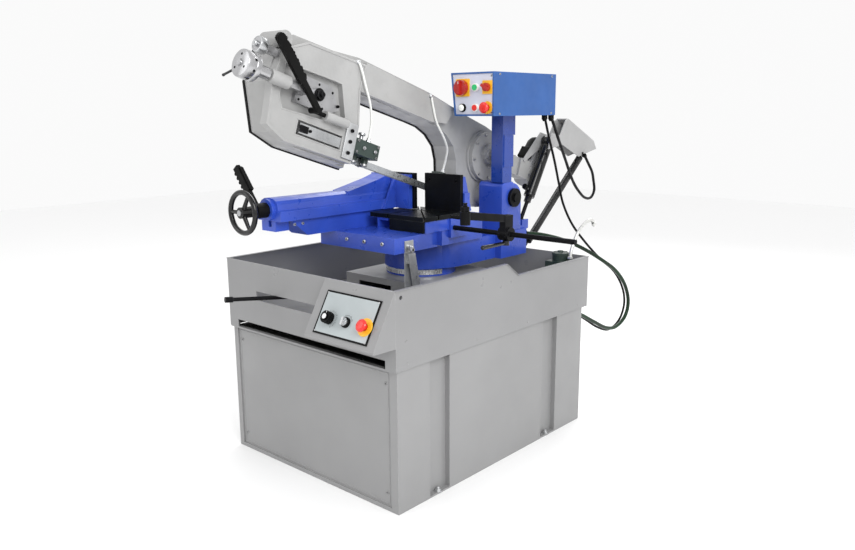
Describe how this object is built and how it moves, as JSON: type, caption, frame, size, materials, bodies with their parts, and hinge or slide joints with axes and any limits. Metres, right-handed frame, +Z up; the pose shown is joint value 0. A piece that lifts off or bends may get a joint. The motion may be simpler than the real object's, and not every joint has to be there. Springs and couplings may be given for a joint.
{
  "type": "metal-cutting mitre band saw",
  "caption": "Metal-cutting band saw with a pivoting, swivelling bow, screw vise, length stop and coolant pump on a sheet-metal cabinet.",
  "frame": {"origin": "centre of the cabinet's footprint, on the floor", "axes": "+X to the operator's right, +Y from the operator to the rear, +Z up"},
  "size_m": [1.137, 1.9016, 1.5059],
  "materials": {
    "cabinet_grey": "satin",
    "tray_grey": "satin",
    "black_plate": "matte",
    "bezels": "satin",
    "cast_blue": "painted",
    "scale_silver": "engraved",
    "black_steel": "blackened",
    "dark_steel": "machined",
    "bright_steel": "zinc",
    "pump_green": "satin",
    "black_knob": "matte",
    "stop_red": "gloss",
    "black_paint": "gloss",
    "deep_blue": "satin",
    "box_blue": "textured",
    "panel_white": "satin",
    "box_bezels": "gloss",
    "switch_red": "gloss",
    "start_green": "gloss",
    "grey_steel": "machined",
    "spring_black": "oiled",
    "cast_grey": "painted",
    "cover_grey": "satin",
    "wheel_iron": "machined",
    "chrome": "polished",
    "blade_steel": "oiled",
    "motor_grey": "painted",
    "cable_black": "matte",
    "hose_green": "satin",
    "hose_white": "matte"
  },
  "bodies": {
    "base": {"base_cabinet": "cabinet_grey", "chip_tray": "tray_grey", "control_housing": "tray_grey", "panel_plate": "black_plate", "panel_bezels": "bezels", "turntable_base": "cast_blue", "angle_scale": "scale_silver", "vise_bed": "cast_blue", "fixed_jaw": "cast_blue", "fixed_jaw_plate": "black_steel", "table_plates": "dark_steel", "bed_bracket": "bright_steel", "stop_rod": "black_steel", "coolant_pump": "pump_green", "supply_cable": "cable_black", "hose_bundle": "hose_green"},
    "feed_valve_knob": {"feed_valve_knob": "black_knob"},
    "mode_selector": {"mode_selector": "bright_steel"},
    "panel_estop": {"panel_estop": "stop_red"},
    "swivel_lock_lever": {"swivel_lock_lever": "black_steel"},
    "vise_slide": {"vise_slide": "cast_blue", "moving_jaw_plate": "black_steel"},
    "vise_spindle": {"handwheel": "black_paint", "vise_screw": "bright_steel"},
    "quick_clamp_lever": {"quick_clamp_lever": "black_knob"},
    "stop_arm": {"stop_arm": "black_steel"},
    "stop_clamp_lever": {"stop_clamp_lever": "black_paint"},
    "swivel": {"swivel_arm": "cast_blue", "hinge_casting": "cast_blue", "post": "deep_blue", "control_box": "box_blue", "box_panel": "panel_white", "box_bezels": "box_bezels", "return_spring": "spring_black", "loop_cable": "cable_black"},
    "main_switch": {"main_switch": "switch_red"},
    "speed_selector": {"speed_selector": "switch_red"},
    "start_button": {"start_button": "start_green"},
    "stop_button": {"stop_button": "stop_red"},
    "box_estop": {"box_estop": "stop_red"},
    "cylinder_rod": {"cylinder_rod": "grey_steel"},
    "cylinder_body": {"cylinder_body": "black_paint"},
    "bow": {"bow_casting": "cast_grey", "wheel_cover": "cover_grey", "tension_slide": "bright_steel", "tension_gauge": "bright_steel", "rear_guide_head": "pump_green", "blade": "blade_steel", "gearbox": "cast_grey", "motor": "motor_grey", "tail_bracket": "cover_grey", "pivot_shaft": "black_steel", "coolant_hose_front": "hose_white", "coolant_hose_rear": "hose_white"},
    "guide_bar": {"guide_bar": "bright_steel", "front_guide_head": "pump_green"},
    "guide_clamp_lever": {"guide_clamp_lever": "black_knob"},
    "idler_wheel": {"idler_wheel": "wheel_iron"},
    "drive_wheel": {"drive_wheel": "wheel_iron"},
    "tension_knob": {"tension_knob": "chrome"}
  },
  "joints": [
    {"name": "head_swivel", "type": "hinge", "parent": "base", "child": "swivel", "pos_m": [0, 0.04, 0.7], "axis": [0, 0, 1], "range_deg": [0, 60]},
    {"name": "bow_lift", "type": "hinge", "parent": "swivel", "child": "bow", "pos_m": [0, 0.38, 0.922], "axis": [-1, 0, 0], "range_deg": [-15, 17], "deforming": ["return_spring"]},
    {"name": "cylinder_tilt", "type": "hinge", "parent": "swivel", "child": "cylinder_rod", "pos_m": [0.15, 0.488, 0.808], "axis": [-1, 0, 0], "range_deg": [-13.93, 15.71]},
    {"name": "cylinder_stroke", "type": "slide", "parent": "cylinder_rod", "child": "cylinder_body", "axis": [0, 0.5195, 0.8545], "range_m": [-0.04619, 0.04082]},
    {"name": "handwheel_turn", "type": "hinge", "parent": "vise_slide", "child": "vise_spindle", "pos_m": [-0.17, -0.654, 0.934], "axis": [0, 1, 0], "range_deg": [-13800, 900]},
    {"name": "vise_travel", "type": "slide", "parent": "base", "child": "vise_slide", "axis": [0, 1, 0], "range_m": [-0.2305, 0.0155]},
    {"name": "quick_clamp_turn", "type": "hinge", "parent": "vise_slide", "child": "quick_clamp_lever", "pos_m": [-0.17, -0.585, 0.934], "axis": [0, 1, 0], "range_deg": [0, 50]},
    {"name": "swivel_lock_turn", "type": "hinge", "parent": "base", "child": "swivel_lock_lever", "pos_m": [0, 0.04, 0.612], "axis": [0, 0, 1], "range_deg": [-6.2, 20]},
    {"name": "stop_slide", "type": "slide", "parent": "base", "child": "stop_arm", "axis": [1, 0, 0], "range_m": [-0.18, 0.22]},
    {"name": "stop_clamp_turn", "type": "hinge", "parent": "stop_arm", "child": "stop_clamp_lever", "pos_m": [0.425, 0.015, 0.81], "axis": [0, 0, 1], "range_deg": [0, 90]},
    {"name": "feed_valve_turn", "type": "hinge", "parent": "base", "child": "feed_valve_knob", "pos_m": [0.213, -0.61394, 0.62569], "axis": [0, -0.8686, 0.4956], "range_deg": [0, 300]},
    {"name": "mode_selector_turn", "type": "hinge", "parent": "base", "child": "mode_selector", "pos_m": [0.285, -0.61394, 0.62569], "axis": [0, -0.8686, 0.4956], "range_deg": [-45, 45]},
    {"name": "panel_estop_press", "type": "slide", "parent": "base", "child": "panel_estop", "axis": [0, 0.8686, -0.4956], "range_m": [0, 0.004], "stiffness_N_per_m": 400},
    {"name": "main_switch_turn", "type": "hinge", "parent": "swivel", "child": "main_switch", "pos_m": [0.125, 0.143, 1.346], "axis": [0, -1, 0], "range_deg": [0, 90]},
    {"name": "speed_selector_turn", "type": "hinge", "parent": "swivel", "child": "speed_selector", "pos_m": [0.2405, 0.143, 1.346], "axis": [0, -1, 0], "range_deg": [0, 60]},
    {"name": "start_button_press", "type": "slide", "parent": "swivel", "child": "start_button", "axis": [0, 1, 0], "range_m": [0, 0.0025], "stiffness_N_per_m": 300},
    {"name": "stop_button_press", "type": "slide", "parent": "swivel", "child": "stop_button", "axis": [0, 1, 0], "range_m": [0, 0.0025], "stiffness_N_per_m": 300},
    {"name": "box_estop_press", "type": "slide", "parent": "swivel", "child": "box_estop", "axis": [0, 1, 0], "range_m": [0, 0.004], "stiffness_N_per_m": 400},
    {"name": "guide_slide", "type": "slide", "parent": "bow", "child": "guide_bar", "axis": [0, 0.9532, -0.3024], "range_m": [0, 0.12]},
    {"name": "guide_clamp_turn", "type": "hinge", "parent": "bow", "child": "guide_clamp_lever", "pos_m": [0.072, -0.49135, 1.25086], "axis": [0, 0.9532, -0.3024], "range_deg": [0, 40]},
    {"name": "tension_knob_turn", "type": "hinge", "parent": "bow", "child": "tension_knob", "pos_m": [0.076, -0.73359, 1.38016], "axis": [0, 0.9532, -0.3024], "range_deg": [-360, 360]},
    {"name": "drive_wheel_spin", "type": "hinge", "parent": "bow", "child": "drive_wheel", "pos_m": [0, 0.38391, 1.03354], "axis": [1, 0, 0], "continuous": true},
    {"name": "idler_wheel_spin", "type": "hinge", "parent": "bow", "child": "idler_wheel", "pos_m": [0, -0.50637, 1.31595], "axis": [1, 0, 0], "continuous": true}
  ],
  "couplings": [
    {"joint": "cylinder_tilt", "follows": "bow_lift", "ratio": 0.895},
    {"joint": "cylinder_stroke", "follows": "bow_lift", "m_per_rad": -0.154},
    {"joint": "vise_travel", "follows": "handwheel_turn", "m_per_rad": 0.00095493},
    {"joint": "idler_wheel_spin", "follows": "drive_wheel_spin", "ratio": 1}
  ]
}
